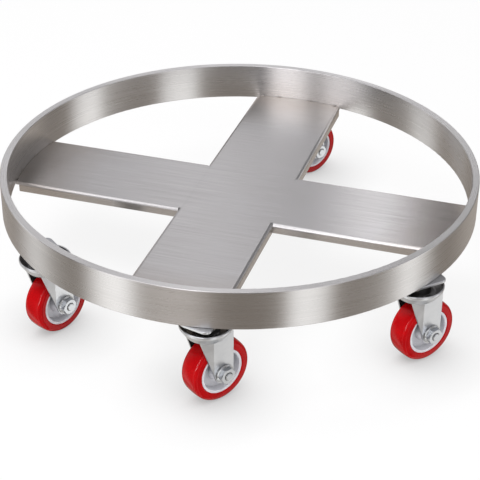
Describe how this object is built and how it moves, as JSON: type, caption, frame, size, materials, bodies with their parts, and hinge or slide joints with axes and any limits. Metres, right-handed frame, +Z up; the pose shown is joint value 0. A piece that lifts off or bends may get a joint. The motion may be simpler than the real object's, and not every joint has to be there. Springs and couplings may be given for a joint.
{
  "type": "drum trolley",
  "caption": "Round drum dolly: a stainless hoop on a channel cross that seats a drum, carried by swivel casters with red polyurethane wheels.",
  "frame": {"origin": "centre of the drum seat, on the deck's top face at the ring's axis", "axes": "+Z up out of the deck, +Y along the long bar towards the back, +X along the right arm"},
  "size_m": [0.6286, 0.6718, 0.1698],
  "materials": {
    "stainless": "brushed stainless steel",
    "weld": "as-welded stainless, lightly brushed",
    "zinc_plate": "bright zinc plate",
    "bearing_steel": "polished hardened steel",
    "polyurethane": "glossy moulded polyurethane",
    "hub_plastic": "satin moulded polypropylene",
    "bush_plastic": "plain nylon"
  },
  "bodies": {
    "frame": {"ring": "stainless", "long_bar": "stainless", "left_arm": "stainless", "right_arm": "stainless", "arm_end_tacks": "weld", "arm_joint_welds": "weld", "plate_welds": "weld", "front_top_plate": "zinc_plate", "front_kingpin": "zinc_plate", "front_lower_race": "bearing_steel", "right_top_plate": "zinc_plate", "right_kingpin": "zinc_plate", "right_lower_race": "bearing_steel", "back_top_plate": "zinc_plate", "back_kingpin": "zinc_plate", "back_lower_race": "bearing_steel", "left_top_plate": "zinc_plate", "left_kingpin": "zinc_plate", "left_lower_race": "bearing_steel"},
    "front_fork": {"front_fork": "zinc_plate", "front_upper_balls": "bearing_steel", "front_lower_balls": "bearing_steel", "front_axle_bolt": "zinc_plate", "front_axle_nut": "zinc_plate", "front_axle_sleeve": "zinc_plate"},
    "front_wheel": {"front_hub": "hub_plastic", "front_tyre": "polyurethane", "front_wheel_bushes": "bush_plastic"},
    "right_fork": {"right_fork": "zinc_plate", "right_upper_balls": "bearing_steel", "right_lower_balls": "bearing_steel", "right_axle_bolt": "zinc_plate", "right_axle_nut": "zinc_plate", "right_axle_sleeve": "zinc_plate"},
    "right_wheel": {"right_hub": "hub_plastic", "right_tyre": "polyurethane", "right_wheel_bushes": "bush_plastic"},
    "back_fork": {"back_fork": "zinc_plate", "back_upper_balls": "bearing_steel", "back_lower_balls": "bearing_steel", "back_axle_bolt": "zinc_plate", "back_axle_nut": "zinc_plate", "back_axle_sleeve": "zinc_plate"},
    "back_wheel": {"back_hub": "hub_plastic", "back_tyre": "polyurethane", "back_wheel_bushes": "bush_plastic"},
    "left_fork": {"left_fork": "zinc_plate", "left_upper_balls": "bearing_steel", "left_lower_balls": "bearing_steel", "left_axle_bolt": "zinc_plate", "left_axle_nut": "zinc_plate", "left_axle_sleeve": "zinc_plate"},
    "left_wheel": {"left_hub": "hub_plastic", "left_tyre": "polyurethane", "left_wheel_bushes": "bush_plastic"}
  },
  "joints": [
    {"name": "front_swivel", "type": "hinge", "parent": "frame", "child": "front_fork", "pos_m": [0.0482, -0.28495, -0.04025], "axis": [0, 0, 1], "continuous": true},
    {"name": "front_wheel_spin", "type": "hinge", "parent": "front_fork", "child": "front_wheel", "pos_m": [0.05531, -0.27468, -0.0805], "axis": [-0.8221, 0.5693, 0], "continuous": true},
    {"name": "right_swivel", "type": "hinge", "parent": "frame", "child": "right_fork", "pos_m": [0.26797, -0.12667, -0.04025], "axis": [0, 0, 1], "continuous": true},
    {"name": "right_wheel_spin", "type": "hinge", "parent": "right_fork", "child": "right_wheel", "pos_m": [0.27575, -0.11689, -0.0805], "axis": [-0.7826, 0.6225, 0], "continuous": true},
    {"name": "back_swivel", "type": "hinge", "parent": "frame", "child": "back_fork", "pos_m": [0.00898, 0.30257, -0.04025], "axis": [0, 0, 1], "continuous": true},
    {"name": "back_wheel_spin", "type": "hinge", "parent": "back_fork", "child": "back_wheel", "pos_m": [0.01579, 0.31305, -0.0805], "axis": [-0.8387, 0.5446, 0], "continuous": true},
    {"name": "left_swivel", "type": "hinge", "parent": "frame", "child": "left_fork", "pos_m": [-0.1896, -0.21131, -0.04025], "axis": [0, 0, 1], "continuous": true},
    {"name": "left_wheel_spin", "type": "hinge", "parent": "left_fork", "child": "left_wheel", "pos_m": [-0.18437, -0.19995, -0.0805], "axis": [-0.9085, 0.4179, 0], "continuous": true}
  ]
}
